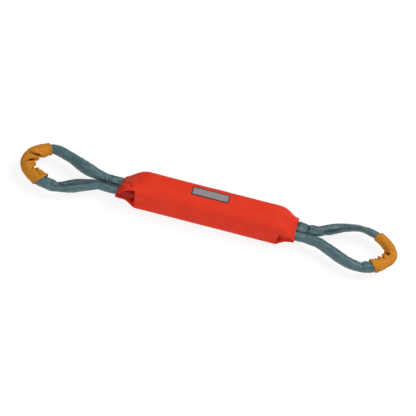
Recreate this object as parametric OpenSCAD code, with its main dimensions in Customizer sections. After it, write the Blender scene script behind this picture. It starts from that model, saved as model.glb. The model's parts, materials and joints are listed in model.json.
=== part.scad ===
// Floating training bumper: a foam block in a sewn fabric cover, with a
// stuffed webbing loop at each end and a fabric grip round each loop's tip.
// X runs along the bumper, Y across it and Z up; it rests on z = 0.

/* [Body] */
// Length of the foam block
foam_length = 229; // [200:1:260]
// Width and height of the covered block
body_size = 51; // [46:1:58]
// Radius of the four long edges of the covered block
body_corner = 12; // [8:1:16]
// Thickness of the coated cover fabric
cover_wall = 1; // [0.6:0.1:1.4]

/* [Cover ends] */
// Length of each folded end, from the foam to its mouth
end_length = 29; // [24:1:34]
// Width of the flattened mouth
mouth_width = 46; // [45:0.5:49]
// Height of the mouth over the two webbing tubes
mouth_height = 20; // [19.6:0.2:22]
// How far the mouths and the loops sit below the block's middle
mouth_drop = 4.5; // [0:0.5:5]
// Extra depth of the side tucks half way along an end
tuck_depth = 5; // [3:0.5:5.5]
// Width of the lapped seam on the rear face
seam_width = 10; // [8:1:14]

/* [Webbing] */
// Radius of each stuffed tube where it leaves the cover
neck_radius = 7.4; // [6.8:0.1:7.5]
// Distance of each tube from the middle plane at the mouth
neck_offset = 9; // [8.2:0.1:9.1]
// Thickness of the tubular webbing
webbing_wall = 1.4; // [1:0.1:2]
// Width of the webbing where it lies flat inside the foam
strap_width = 15.6; // [14:0.2:15.8]
// Thickness of the webbing where it lies flat inside the foam
strap_thickness = 4; // [3:0.2:5]
// Distance from the mouth to the line each loop folds about
fold_offset = 13.5; // [12.5:0.5:16]
// How far the tip of the left loop sags
left_sag = 0.5; // [0:0.5:4]
// How far the tip of the right loop sags
right_sag = 1.5; // [0:0.5:4]

/* [Grips] */
// Thickness of the grip sleeve's fabric
grip_wall = 1.4; // [1:0.1:2]
// How much thicker the turned hems are than the rest of a sleeve
hem_growth = 1.35; // [1.1:0.05:1.6]

/* [Label] */
// Length of the woven label
label_length = 60; // [50:1:70]
// Width of the woven label
label_width = 16; // [12:1:18]
// Thickness of the woven label
label_thickness = 0.8; // [0.6:0.1:1.2]

/* [Stitching] */
// Diameter of the sewing thread
thread = 0.7; // [0.5:0.1:1]
// Distance from one stitch to the next
stitch_pitch = 4; // [3:0.5:6]

/* [Hidden] */

cover_colour = "#d8442c";
webbing_colour = "#52626a";
grip_colour = "#bb7c2f";
foam_colour = "#e6e3da";
filler_colour = "#d9d4c4";
label_colour = "#8f8f8c";
red_thread = "#b8331f";
grey_thread = "#39464c";
amber_thread = "#8f5c1c";

mid = body_size / 2;               // height of the foam's middle
loop_z = mid - mouth_drop;         // height of the mouths and of the fold lines
foam_half = foam_length / 2;
mouth_x = foam_half + end_length;  // distance of each mouth from the centre
fold_x = mouth_x + fold_offset;    // distance of each loop's fold line
slack = 0.2;                       // room between the foam and its cover
running_gap = 2.2;                 // room for a folding loop and its bar tack
stitch_length = stitch_pitch * 0.65;
thread_gap = 0.2;                  // room between a stitch and a curved fabric

// ---- route of each loop: distance from the centre, place across, tube radius.
// It starts at the rear of the fold line, goes round the tip and comes back.
left_route = [
    [fold_x, neck_offset, neck_radius], [166, 8.6, 7.2], [175, 10.2, 7.5],
    [186, 12.5, 8.8], [200, 17, 10.2], [213, 22.3, 10.1], [226, 28.7, 9.2],
    [240, 34.3, 8.8], [254, 37.3, 8.8], [265, 37.2, 8.2], [274, 34.3, 8.4],
    [284, 27.2, 8.8], [292.5, 17.5, 9], [297, 3, 9.2], [292, -10.3, 9.2],
    [281.5, -20.6, 9], [271, -27.3, 8.8], [260.5, -31.2, 8.8], [248, -33.2, 9.3],
    [236, -32.6, 8.2], [226, -29.5, 9.2], [214, -24.3, 10.2], [200, -17.2, 10.1],
    [187, -11.6, 8.6], [174, -9, 7.4], [fold_x, -neck_offset, neck_radius]];
right_route = [
    [fold_x, neck_offset, neck_radius], [166, 8.9, 7.3], [177, 11.8, 8.1],
    [186, 16.2, 8.3], [195, 20.7, 8.4], [207, 27.4, 8.2], [220, 32.9, 7.6],
    [232, 36.2, 7.2], [245, 37.4, 7], [258, 34.4, 7.2], [268, 30, 7.6],
    [279.5, 23.3, 8], [291, 14, 8.2], [298, 2, 8.4], [296.5, -8, 8.8],
    [291, -16.8, 9.2], [285, -24, 9.2], [277.5, -29.3, 9.2], [268, -34.2, 9.2],
    [256, -37.5, 8.4], [243, -36.7, 8.8], [230, -33, 9.3], [217, -27.5, 9.4],
    [204, -21.3, 9], [191, -15.5, 8.8], [177, -10.6, 8.1], [166, -8.9, 7.3],
    [fold_x, -neck_offset, neck_radius]];
// first and last point of each route that the grip covers
left_grip_span = [9, 16.5];
right_grip_span = [10, 17];

// ---- curves and rings
ring_sides = 12;
route_step = 0.5;
filler_step = 1;
cap_angles = [78, 52, 26];

// Catmull-Rom spline through the route's points, at any place u along it
function route_at(route, u) =
    let (n = len(route) - 1,
         i = min(floor(u), n - 1),
         f = u - i,
         a = route[max(i - 1, 0)], b = route[i],
         c = route[i + 1], d = route[min(i + 2, n)])
    0.5 * (2 * b + (c - a) * f + (2 * a - 5 * b + 4 * c - d) * f * f
        + (3 * b - a - 3 * c + d) * f * f * f);

function heading(route, u) =
    let (n = len(route) - 1,
         p = route_at(route, max(u - 0.05, 0)),
         q = route_at(route, min(u + 0.05, n)),
         v = [q.x - p.x, q.y - p.y])
    u <= 0 ? [1, 0] : u >= n ? [-1, 0] : v / norm(v);

// the tip hangs a little lower than the mouth
function sagged(x, sag) =
    loop_z - sag * pow(max(x - fold_x, 0) / (foam_half + 25), 2);

// one ring of points round the route at u, made larger by grow, and moved along it
function ring(route, sag, u, grow, along = 0, shrink = 1) =
    let (p = route_at(route, u), h = heading(route, u), r = (p[2] + grow) * shrink)
    [for (k = [0:ring_sides - 1])
        let (a = 360 * k / ring_sides)
        [p.x + h.x * along - h.y * r * cos(a),
         p.y + h.y * along + h.x * r * cos(a),
         sagged(p.x, sag) + r * sin(a)]];

// A tube from a list of rings: sides between neighbours and a face at each end
module skin(rings) {
    n = len(rings[0]);
    last = (len(rings) - 1) * n;
    sides = [for (j = [0:len(rings) - 2]) for (k = [0:n - 1])
        let (k2 = (k + 1) % n, a = j * n, b = a + n)
        each [[a + k, b + k2, a + k2], [a + k, b + k, b + k2]]];
    ends = [[for (k = [0:n - 1]) k], [for (k = [n - 1:-1:0]) last + k]];
    polyhedron([for (r = rings) each r], concat(sides, ends), convexity = 6);
}

// Part of a loop as a solid tube, from u = span[0] to span[1]
module loop_tube(route, sag, span, grow, step = route_step) {
    skin([for (u = [span[0]:step:span[1]]) ring(route, sag, u, grow)]);
}

// The outside of a loop, with a round end at each side of the fold line
module loop_skin(route, sag) {
    n = len(route) - 1;
    first = [for (a = cap_angles)
        ring(route, sag, 0, 0, -neck_radius * sin(a), cos(a))];
    final = [for (j = [len(cap_angles) - 1:-1:0]) let (a = cap_angles[j])
        ring(route, sag, n, 0, neck_radius * sin(a), cos(a))];
    skin(concat(first, [for (u = [0:route_step:n]) ring(route, sag, u, 0)], final));
}

// The room for the filler, which ends where the webbing is flat enough to fold
module filler_tube(route, sag) {
    loop_tube(route, sag, [1, len(route) - 2], -webbing_wall, filler_step);
}

module webbing(route, sag) {
    color(webbing_colour) difference() {
        loop_skin(route, sag);
        filler_tube(route, sag);
    }
}

module filler(route, sag) {
    color(filler_colour) filler_tube(route, sag);
}

// The grip is a sleeve whose two ends are turned back into hems
module grip(route, sag, span) {
    us = [for (u = [span[0]:route_step:span[1]]) u];
    color(grip_colour) difference() {
        skin([for (u = us) ring(route, sag, u,
            grip_wall * (u == us[0] || u == us[len(us) - 1] ? hem_growth : 1))]);
        loop_tube(route, sag, [span[0] - route_step, span[1] + route_step], 0);
    }
}

// A ring of stitches round each hem of a grip
module grip_stitching(route, sag, span) {
    count = 12;
    color(amber_thread)
    for (end = [[span[0] + route_step / 2, 1], [span[1] - route_step / 2, -1]]) {
        p = route_at(route, end[0]);
        h = heading(route, end[0]);
        translate([p.x, p.y, sagged(p.x, sag)])
            rotate([0, 0, atan2(h.y, h.x)])
            for (k = [0:count - 1])
                rotate([360 * k / count, 0, 0])
                translate([0, 0, p[2] + grip_wall * hem_growth + thread / 2 + thread_gap])
                    cube([thread, stitch_length, thread], center = true);
    }
}

// Thread wound round both tubes, which holds them together at the neck
module stadium(radius) {
    square([2 * neck_offset, 2 * radius], center = true);
    for (side = [-1, 1]) translate([side * neck_offset, 0]) circle(r = radius, $fn = 48);
}
module bar_tack() {
    color(grey_thread)
    translate([fold_x + 4, 0, loop_z]) rotate([90, 0, 90]) linear_extrude(2.4)
        difference() {
            stadium(neck_radius + thread);
            stadium(neck_radius);
        }
}

// ---- cover: outline of the block, outline of the mouth, and a loft between them
corner_steps = 6;

// a quarter of the outline from the side to the top, as [across, up]
function block_quarter(size, corner) =
    [for (k = [0:corner_steps]) let (a = 90 * k / corner_steps, c = size / 2 - corner)
        [c + corner * cos(a), c + corner * sin(a)]];
function mouth_quarter(width, height, lip) =
    [for (k = [0:corner_steps])
        let (y = width / 2 * (1 - 0.55 * k / corner_steps))
        [y, lip + (height / 2 - lip) * (1 - pow(2 * y / width, 3))]];

// the whole outline from a quarter: side point, quarter, top point and so on
function outline(quarter, side, top) = concat(
    [[side, 0]], quarter, [[0, top]],
    [for (k = [corner_steps:-1:0]) [-quarter[k].x, quarter[k].y]],
    [[-side, 0]], [for (q = quarter) -q], [[0, -top]],
    [for (k = [corner_steps:-1:0]) [quarter[k].x, -quarter[k].y]]);

// outline part of the way, 0 at the foam and 1 at the mouth, inset by wall
function cover_outline(f, wall) =
    let (block = block_quarter(body_size - 2 * wall, body_corner - wall),
         lip = wall > 0 ? 0.3 : 0.8,
         width = mouth_width - 5 * wall,
         height = mouth_height - 2 * wall,
         mouth = mouth_quarter(width, height, lip),
         tuck = tuck_depth * 4 * f * (1 - f),
         side = (mid - wall) * (1 - f) + (width / 2 - (wall > 0 ? 0.5 : 3)) * f - tuck)
    outline(block * (1 - f) + mouth * f, side, (mid - wall) * (1 - f) + height / 2 * f);

end_steps = [0:0.125:1];
// past is how far the loft runs on beyond each mouth
module cover_loft(wall, past) {
    stations = concat(
        [for (f = end_steps) [-mouth_x + end_length * f, 1 - f]],
        [for (f = end_steps) [foam_half + end_length * f, f]]);
    count = len(stations) - 1;
    translate([0, 0, mid]) skin([for (j = [0:count])
        let (x = stations[j][0] + (j == 0 ? -past : j == count ? past : 0))
        [for (p = cover_outline(stations[j][1], wall))
            [x, p.x, p.y - mouth_drop * stations[j][1]]]]);
}

module cover() {
    color(cover_colour) {
        difference() {
            cover_loft(0, 0);
            cover_loft(cover_wall, 0.5);
        }
        translate([-foam_half, mid, mid - seam_width / 2])
            cube([foam_length, cover_wall * 0.8, seam_width]);
    }
}

// one row of stitches along X, centred on the origin
module stitch_row(length) {
    count = floor(length / stitch_pitch);
    for (k = [0:count - 1])
        translate([(k - (count - 1) / 2) * stitch_pitch, 0, 0])
            cube([stitch_length, thread, thread], center = true);
}

module cover_seam_stitching() {
    color(red_thread) for (row = [-1, 1])
        translate([0, mid + cover_wall * 0.8 + thread / 2,
            mid + row * (seam_width / 2 - 2)])
            stitch_row(foam_length - 8);
}

// two rows across each mouth, on the upper and the lower lip
module mouth_stitching(end) {
    inset = 3;
    f = 1 - inset / end_length;
    reach = 12;
    half = stitch_length / 2;
    for (face = [-1, 1]) for (y = [-reach:stitch_pitch:reach]) {
        rise = lip_height(f, y + half) - lip_height(f, y - half);
        height = lip_height(f, y) + thread / 2 + thread_gap;
        slope = atan2(mid - mouth_height / 2 + face * mouth_drop, end_length);
        color(red_thread)
        translate([end * (mouth_x - inset), y, mid - mouth_drop * f + face * height])
            rotate([face * atan2(rise, stitch_length), face * end * slope, 0])
            cube([thread, stitch_length, thread], center = true);
    }
}
// height of a lip over the middle of the cover's outline, f of the way to the mouth
function lip_height(f, y) =
    let (o = cover_outline(f, 0), top = corner_steps + 2)
    lookup(abs(y), [for (k = [0:corner_steps + 1]) [o[top - k].x, o[top - k].y]]);

// ---- foam: two halves glued round the flat webbing
module foam(half) {
    size = body_size - 2 * cover_wall - 2 * slack;
    corner = body_corner - cover_wall;
    inner = size / 2 - corner;
    channel_width = 4 * strap_width / 2 + 2 * (neck_offset - strap_width / 2) + 1;
    color(foam_colour) translate([-foam_half, 0, mid]) rotate([90, 0, 90])
    linear_extrude(foam_length) difference() {
        union() {
            square([size, 2 * inner], center = true);
            square([2 * inner, size], center = true);
            for (sy = [-1, 1]) for (sz = [-1, 1])
                translate([sy * inner, sz * inner]) circle(r = corner, $fn = 64);
        }
        translate([-size, half > 0 ? -2 * size : 0]) square(2 * size);
        square([channel_width, strap_thickness + 0.4], center = true);
    }
}
module foam_upper() { foam(1); }
module foam_lower() { foam(-1); }

// ---- flat webbing inside the foam, which opens into a tube at each mouth
strap_end = fold_x - neck_radius - running_gap;
// each station of a strap: distance from the centre, half width, half height
strap_stations = [
    [foam_half, strap_width / 2, strap_thickness / 2],
    [foam_half + end_length * 0.55, neck_radius + 0.3, strap_thickness],
    [mouth_x - 3, neck_radius, neck_radius - 0.3],
    [strap_end, neck_radius, neck_radius]];

module strap(side) {
    count = len(strap_stations) - 1;
    stations = concat(
        [for (j = [count:-1:0]) [-strap_stations[j][0], strap_stations[j][1],
            strap_stations[j][2]]], strap_stations);
    color(webbing_colour) translate([0, side * neck_offset, mid])
    skin([for (s = stations) [for (k = [0:ring_sides - 1])
        let (a = 360 * k / ring_sides,
             square_up = s[2] < neck_radius - 1 ? 0.5 : 1,
             drop = mouth_drop * min(max(abs(s[0]) - foam_half, 0) / end_length, 1))
        [s[0], s[1] * sign(cos(a)) * pow(abs(cos(a)), square_up),
         s[2] * sign(sin(a)) * pow(abs(sin(a)), square_up) - drop]]]);
}
module strap_front() { strap(-1); }
module strap_rear() { strap(1); }

// ---- label on the top face, a little behind the middle
label_x = 1;
label_y = 2;
module label() {
    corner = 1.5;
    color(label_colour) translate([label_x, label_y, body_size])
    linear_extrude(label_thickness) union() {
        square([label_length - 2 * corner, label_width], center = true);
        square([label_length, label_width - 2 * corner], center = true);
        for (sx = [-1, 1]) for (sy = [-1, 1])
            translate([sx * (label_length / 2 - corner), sy * (label_width / 2 - corner)])
                circle(r = corner, $fn = 32);
    }
}

module label_stitching() {
    inset = 1.6;
    color(grey_thread) translate([label_x, label_y, body_size + label_thickness + thread / 2]) {
        for (side = [-1, 1]) translate([0, side * (label_width / 2 - inset), 0])
            stitch_row(label_length - 4 * inset);
        for (side = [-1, 1]) translate([side * (label_length / 2 - inset), 0, 0])
            rotate([0, 0, 90]) stitch_row(label_width - 2 * inset);
    }
}

module left() { mirror([1, 0, 0]) children(); }

foam_upper();
foam_lower();
cover();
cover_seam_stitching();
mouth_stitching(-1);  // left_mouth_stitching
mouth_stitching(1);  // right_mouth_stitching
strap_front();
strap_rear();
label();
label_stitching();
left() webbing(left_route, left_sag);  // left_webbing
left() filler(left_route, left_sag);  // left_filler
left() grip(left_route, left_sag, left_grip_span);  // left_grip
left() grip_stitching(left_route, left_sag, left_grip_span);  // left_grip_stitching
left() bar_tack();  // left_bar_tack
webbing(right_route, right_sag);  // right_webbing
filler(right_route, right_sag);  // right_filler
grip(right_route, right_sag, right_grip_span);  // right_grip
grip_stitching(right_route, right_sag, right_grip_span);  // right_grip_stitching
bar_tack();  // right_bar_tack
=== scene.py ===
import functools
import json
import math

import bpy
from mathutils import Matrix, Vector, noise

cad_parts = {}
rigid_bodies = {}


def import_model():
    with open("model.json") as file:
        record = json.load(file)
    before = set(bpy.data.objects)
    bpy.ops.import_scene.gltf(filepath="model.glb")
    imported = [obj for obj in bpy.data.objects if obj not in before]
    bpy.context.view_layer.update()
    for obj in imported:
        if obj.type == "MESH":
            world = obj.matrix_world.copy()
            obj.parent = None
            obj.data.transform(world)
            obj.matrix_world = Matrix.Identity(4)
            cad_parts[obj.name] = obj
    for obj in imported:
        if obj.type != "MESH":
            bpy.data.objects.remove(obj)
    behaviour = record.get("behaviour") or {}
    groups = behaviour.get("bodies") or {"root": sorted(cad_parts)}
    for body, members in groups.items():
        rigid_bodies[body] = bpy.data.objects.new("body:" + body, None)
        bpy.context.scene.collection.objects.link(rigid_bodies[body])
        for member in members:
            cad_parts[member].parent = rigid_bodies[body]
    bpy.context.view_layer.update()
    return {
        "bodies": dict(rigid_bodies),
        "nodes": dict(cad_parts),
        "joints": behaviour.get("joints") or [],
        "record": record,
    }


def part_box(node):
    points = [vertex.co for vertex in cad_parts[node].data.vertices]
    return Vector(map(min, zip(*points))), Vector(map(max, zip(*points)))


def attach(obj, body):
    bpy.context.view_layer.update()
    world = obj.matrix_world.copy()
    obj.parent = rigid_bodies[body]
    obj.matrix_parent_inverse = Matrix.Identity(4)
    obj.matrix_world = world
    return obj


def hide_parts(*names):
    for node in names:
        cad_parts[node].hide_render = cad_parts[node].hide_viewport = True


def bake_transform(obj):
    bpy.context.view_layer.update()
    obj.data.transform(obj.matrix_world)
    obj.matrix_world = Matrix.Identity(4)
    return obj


bl_info = {
    "name": "Training bumper",
    "version": (1, 0, 0),
    "blender": (4, 5, 0),
    "location": "View3D > Sidebar > Bumper",
    "description": "Sews the soft pieces of a floating training bumper round its packed frame",
    "category": "Object",
}

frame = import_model()

# ---- sizes that the frame gives, in millimetres
MM = 0.001
JOINTS = {joint["name"]: joint for joint in frame["joints"]}
FOAM_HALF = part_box("foam_upper")[1].x / MM
MOUTH_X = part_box("cover")[1].x / MM
BODY_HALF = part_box("cover")[1].z / MM / 2
FOLD_X = JOINTS["right_loop_fold"]["pos_m"][0] / MM
FOLD_Z = JOINTS["right_loop_fold"]["pos_m"][2] / MM
DROP = BODY_HALF - FOLD_Z        # how far the mouths and loops lie below the middle
LABEL_LOW, LABEL_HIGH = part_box("label")
SEAM_HALF = (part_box("cover_seam_stitching")[1].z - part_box("cover_seam_stitching")[0].z) / MM / 2

# ---- sizes that the pieces share, in millimetres
CORNER = 12.0                    # radius of the covered block's long edges
FLAT = BODY_HALF - CORNER        # half of each face's flat stretch
PANEL = 2 * FLAT + CORNER * math.pi / 2
END_LENGTH = MOUTH_X - FOAM_HALF
TUCK_LIMIT = 18.2                # how near the middle plane a side tuck may come
NECK_RADIUS = 7.4
NECK_OFFSET = 9.0                # of each tube from the middle plane, at a mouth
STRAP_END = 127.5                # where the flat webbing has opened into a tube
TUBE_RADIUS = 9.0                # of the stuffed webbing, on the whole
GIRTH = 2 * math.pi * TUBE_RADIUS    # width of the flat cloth that is laid round a tube
ARC = 0.165                      # distance round a stuffed tube for each degree
PRESSED = 190.0                  # how far out the two tubes of a neck press on each other
SAG_REACH = 139.5                # distance past the fold at which a loop has its whole sag
TACK_X = FOLD_X + 3.5            # the bar tack, just past each fold line
TACK_LENGTH = 2.6
HEM = 2.8                        # from the edge of a grip to its row of stitches
LIP_FOLD = 1.3                   # half the height of a mouth's corners, where lip meets lip
LABEL_EDGE = 1.3                 # the label's dark border, and its stitches from the edge
SETTLING = 12                    # frames of cloth simulation in which a piece settles

# Each panel of the cover as (direction along it, direction outwards), both as (y, z):
# rear, top, front and bottom, sewn into a tube whose seam is in the middle of the rear
PANELS = [((0, 1), (1, 0)), ((-1, 0), (0, 1)), ((0, -1), (-1, 0)), ((1, 0), (0, -1))]
REAR, TOP, FRONT, BOTTOM = range(4)

# How each end of the cover is folded, at the left (-1) and at the right (1). Heights are over
# the block's middle
ENDS = {
    -1: {
        # rear and front corner of the mouth: how far out, how far across and how high
        "mouth_x": (138.6, 146.8), "mouth_y": (20.5, -22.5), "mouth_z": (-4.0, -5.0),
        # how long before the foam's end the shoulder starts, and how it eases in and out
        "early": 12.0, "ease": (1.6, 1.15),
        # a side tuck: its depth, the share of the end in which it gets that deep, the share
        # at which it starts at its top and bottom, and its span down the panel (-1 to 1)
        "tuck": 18.0, "tuck_rate": 0.09, "tuck_start": (0.02, 0.0), "tuck_span": (-0.86, 0.8),
        "dark": 0.8,             # how dark the tucks are painted: painted shade in their hollows
        "ridge": 2.6,            # how long the top flap's front ridge stays up
        "pull": 1.5,             # how fast the bottom flap's front ridge rises
        "drawn": 3.8,            # how far that ridge is drawn in
        "ear": 0.5,              # how far the mouth's rear corner turns out
        # creases on the top flap: from x, y to x, y, half width and height
        "creases": [(139, -1, 119, -23, 2.4, -2.4), (142, -9, 127, -21, 2.4, 1.0),
                    (133, 2, 118, -12, 3.0, 1.0), (137, 9, 122, 16, 3.5, -1.0)],
    },
    1: {
        "mouth_x": (142.8, 145.2), "mouth_y": (23.6, -22.8), "mouth_z": (-3.2, -5.0),
        "early": 10.0, "ease": (2.1, 1.2),
        "tuck": 12.0, "tuck_rate": 0.2, "tuck_start": (0.3, 0.0), "tuck_span": (-0.5, 0.9),
        "dark": 0.25, "ridge": 1.9, "pull": 1.8, "drawn": 1.4, "ear": 1.6,
        "creases": [(139, -12, 124, -20, 3.0, -0.9), (138, 13, 124, 6, 4.0, 0.8),
                    (141, 2, 128, 0, 2.6, -0.8), (141, -4, 131, -9, 2.2, 0.8),
                    (140, 16, 131, 20, 2.6, -1.2)],
    },
}

# Each loop's route: distance from the middle of the bumper, place across, radius of the
# stuffed tube, how flat it lies (width over height), and the angle in degrees by which the
# flattened tube is turned about its own length. It starts inside the cover at the rear,
# goes round the tip and comes back at the front.
LEFT_ROUTE = [
    (128, 8, 6.6, 1.3, 0), (143, 8.5, 7.3, 1.3, 0), (157, 8.3, 7.5, 1.3, 0),
    (166, 8.2, 7.4, 1.25, 0), (175, 9.5, 7.9, 1.15, 0), (186, 12.3, 8.9, 1.05, 0),
    (200, 17.1, 10.3, 1, 0), (213, 22.3, 10.2, 1, 0), (226, 28.7, 9.2, 1, 0),
    (240, 34.3, 8.8, 1, 0), (254, 38.7, 8.6, 1, 0), (265, 39.8, 7.6, 1, 0),
    (275, 36.0, 8.0, 1, 0), (285.5, 28.7, 8.8, 1, 0), (294, 18.4, 9.2, 1, 0),
    (297.6, 3.5, 9.4, 1, 0), (292.6, -10, 9.4, 1, 0), (281.5, -20.0, 9.8, 1, 0),
    (271, -26.2, 10.5, 1, 0), (260.5, -30.5, 9.8, 1, 0), (248, -33.2, 9.4, 1, 10),
    (241, -33.2, 8.6, 1, 0), (235.5, -32.8, 7.9, 1, 0), (229, -30.7, 8.8, 1, 0),
    (217, -25.8, 10.1, 1, 0), (205, -19.4, 10.3, 1, 0), (192, -14.1, 9.3, 1, 0),
    (181, -9.4, 8.0, 1.1, 0), (174, -8.4, 7.4, 1.2, 0), (166, -8.8, 7.4, 1.25, 0),
    (157, -9.2, 7.5, 1.3, 0), (143, -8.8, 7.3, 1.3, 0), (128, -8, 6.6, 1.3, 0)]
RIGHT_ROUTE = [
    (128, 8, 6.8, 1.3, 0), (143, 8.6, 8.4, 1.6, 0), (151, 8.8, 8.6, 1.6, 0),
    (160, 9.0, 8.3, 1.4, 0), (168, 9.5, 8.4, 1.3, 0), (177, 10.8, 8.5, 1.15, 0),
    (186, 16.2, 8.3, 1, 0), (195, 20.7, 8.6, 1, -20), (207, 27.9, 8.5, 1.16, -50),
    (220, 33.5, 8.5, 1.7, -50), (232, 36.9, 8.5, 2.07, -50), (245, 38.2, 8.5, 2.4, -50),
    (258, 35.8, 8.3, 1.6, -50), (268, 32.6, 7.2, 1.4, -50), (279, 26.6, 7.1, 1, -25),
    (290.5, 16.6, 7.4, 1, 0), (297.8, 3.8, 7.6, 1, 0), (296.6, -6.5, 8.2, 1, 0),
    (290.8, -14.6, 8.4, 1, 0), (284.6, -21.7, 8.8, 1, 0), (277.3, -28.0, 9.4, 1, 0),
    (268, -33.8, 9.2, 1, 0), (256, -37.6, 8, 1, 0), (243, -36.7, 8.7, 1, 0),
    (230, -33, 9.4, 1, 0), (217, -27.3, 9.4, 1, 0), (204, -21.1, 8.9, 1, 0),
    (191, -15.0, 8.6, 1, 0), (179, -10.3, 8.7, 1.15, 0), (168, -9.2, 8.3, 1.25, 0),
    (160, -9.0, 8.1, 1.3, 0), (143, -8.9, 7.7, 1.3, 0), (128, -8, 6.8, 1.3, 0)]

# What is made along each loop. Angles are in degrees from the loop's inside (0) over the top
# (90) to its outside (180).
# creases of the webbing: half width, then distance along the route, angle and height at
# each point; shades, painted shade where shade falls on the webbing: in gaps and creases,
# under a mouth, along a tack and along a strand's shaded side, with the darkness from 0 to
# 1 instead of the height; folds of the grip, with shares of its length instead of distances.
# grip is where the sleeve starts and ends, as places in the list of the route's points.
# lean, for the grip's hem at its start and at its end: how much further out the edge lies on
# one side, the angle of that side, and how far the hem gapes there.
# sag is how far the tip hangs down, pinch how deep the bar tack cuts into the webbing, and
# meet how far to the rear of the middle the two tubes of the neck touch
LOOPS = {
    "left": {
        "side": -1, "route": LEFT_ROUTE, "sag": 0.5, "grip": (11.35, 18.45),
        "creases": [(1.8, (264, 0, -1), (269, 38, -3.4), (273, 70, -2.4), (278, 96, -1)),
                    (1.4, (266, 108, 0.2), (275, 124, 1.2), (289, 131, 1.5), (304, 131, 1.5),
                     (321, 123, 1.2), (338, 115, 0.4)),
                    (4.2, (276, 100, -1.0), (289, 96, -1.9), (304, 98, -1.9),
                     (321, 92, -1.4), (335, 86, -0.5)),
                    (2.2, (258, 50, -1.0), (262, 150, -1.0)),
                    (1.3, (35, 0, -1.5), (38, 75, -1.5)), (1.1, (41, -15, -1.3), (43, 70, -1.2)),
                    (1.3, (49, 10, -0.9), (47, 110, -0.9)), (3.5, (30, 50, 0.9), (31, 110, 0.9)),
                    (1.5, (12, 20, -0.7), (24, 60, -0.7))],
        "shades": [(3.6, (264, 126, 0.3), (277, 110, 0.7), (289, 98, 0.9), (304, 98, 0.9),
                    (321, 91, 0.85), (334, 84, 0.7), (346, 74, 0.9), (358, 72, 1.0),
                    (368, 78, 0.9)),
                   (2.8, (70, -34, 0.8), (58, -22, 0.9), (44, 4, 1.0), (22, 20, 1.0)),
                   (2.6, (20, 66, 0.5), (8, 56, 0.8)), (1.0, (41, 30, 0.8), (43, 74, 0.6)),
                   (1.0, (36.5, 24, 0.8), (38, 60, 0.5))],
        "folds": [(1.7, (0.24, -60, -2), (0.247, -3, -6), (0.383, 60, -5.2), (0.401, 105, -3.4),
                   (0.41, 135, 0)),
                  (1.9, (0.40, -60, -3), (0.41, -18, -6.5), (0.52, 40, -6), (0.568, 69, -5.6),
                   (0.572, 105, -2.6), (0.57, 140, 0)),
                  (1.7, (0.62, -40, -3), (0.70, 10, -6.5), (0.745, 35, -6.4), (0.74, 60, -4.6),
                   (0.757, 90, -2.0), (0.76, 120, 0)),
                  (1.3, (0.66, 55, -2.5), (0.72, 35, -3)),
                  (1.4, (0.76, 45, -4), (0.812, 72, -3), (0.90, 88, -2.6), (0.98, 99, -1)),
                  (7.0, (0.13, -80, 1.5), (0.14, -36, 2.6), (0.16, 10, 1.2)),
                  (5.0, (0.31, -60, 1.5), (0.32, -20, 2.2), (0.46, 50, 1.6)),
                  (4.5, (0.53, -30, 2.0), (0.60, 14, 3.2), (0.65, 60, 1.0)),
                  (5.0, (0.84, 0, 1.5), (0.87, 40, 1.6))],
        "lean": ((-2.0, -24, 0.8), (6.6, 50, 3.0)),
        "pinch": 0.6, "meet": 0.0,
    },
    "right": {
        "side": 1, "route": RIGHT_ROUTE, "sag": 1.5, "grip": (13.15, 20.35),
        "creases": [(1.6, (255, 30, -2.2), (246, 70, -1.8), (237, 98, -1.2)),
                    (1.6, (252, 86, -1.8), (247, 158, -1.5)), (4.0, (247, 60, 1.4), (243, 110, 1.0)),
                    (1.4, (13, 40, -0.8), (16, 150, -0.8)), (1.3, (37, 20, -1.0), (41, 110, -0.8)),
                    (2.5, (46, 60, -1.0), (60, 80, -0.6)), (1.5, (276, 20, -1.0), (282, 100, -0.8)),
                    (7.0, (9, 5, 1.0), (15, 5, 3.4), (28, 0, 3.2), (38, -5, 1.6), (46, -10, 0))],
        "shades": [(2.2, (32.5, 118, 0.9), (34.5, 80, 0.6), (35.5, 30, 0.6)),
                   (3.2, (37, 70, 0.8), (49, 62, 0.8), (58, 44, 0.8), (78, 0, 0.8),
                    (100, 4, 0.7), (122, 12, 0.6), (136, 20, 0.3)),
                   (3.0, (15, 116, 0.9), (18, 80, 0.9), (19, 36, 0.9)),
                   (2.2, (4, 32, 0.9), (20, 30, 1.0), (37, 12, 1.0), (47, -10, 1.0)),
                   (1.8, (376, 62, 0.9), (354, 62, 0.9), (345, 48, 0.9))],
        "folds": [(1.2, (0.22, -20, -1), (0.23, 40, -1), (0.24, 80, 0)),
                  (1.4, (0.30, -50, -1.5), (0.33, 0, -2.6), (0.336, 21, -2.6), (0.36, 70, -0.9),
                   (0.37, 95, 0)),
                  (1.5, (0.39, -40, -2.5), (0.40, 10, -3.8), (0.40, 42, -3.2), (0.44, 75, -1.4),
                   (0.46, 100, 0)),
                  (1.9, (0.50, -40, -4), (0.53, 10, -7), (0.565, 60, -5.5), (0.555, 87, -2.4),
                   (0.55, 115, 0)),
                  (1.7, (0.60, -20, -4), (0.62, 30, -5.5), (0.62, 70, -3.8), (0.60, 105, -1.8),
                   (0.595, 130, 0)),
                  (1.5, (0.70, -20, -3), (0.74, 30, -4.4), (0.742, 75, -3), (0.73, 105, -1),
                   (0.72, 120, 0)),
                  (1.4, (0.83, 10, -2.2), (0.838, 60, -2.2), (0.84, 90, -0.6)),
                  (1.2, (0.90, 10, -1.2), (0.91, 60, -1.2)),
                  (3.0, (0.45, -10, 1.6), (0.45, 30, 2.0), (0.48, 60, 0.6)),
                  (3.0, (0.66, 0, 1.6), (0.67, 50, 2.4), (0.67, 80, 0.6)),
                  (3.0, (0.78, 10, 1.0), (0.79, 57, 1.6))],
        "lean": ((1.9, 100, 0.4), (3.0, 50, 1.2)),
        "pinch": 1.9, "meet": -4.8,
    },
}


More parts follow.
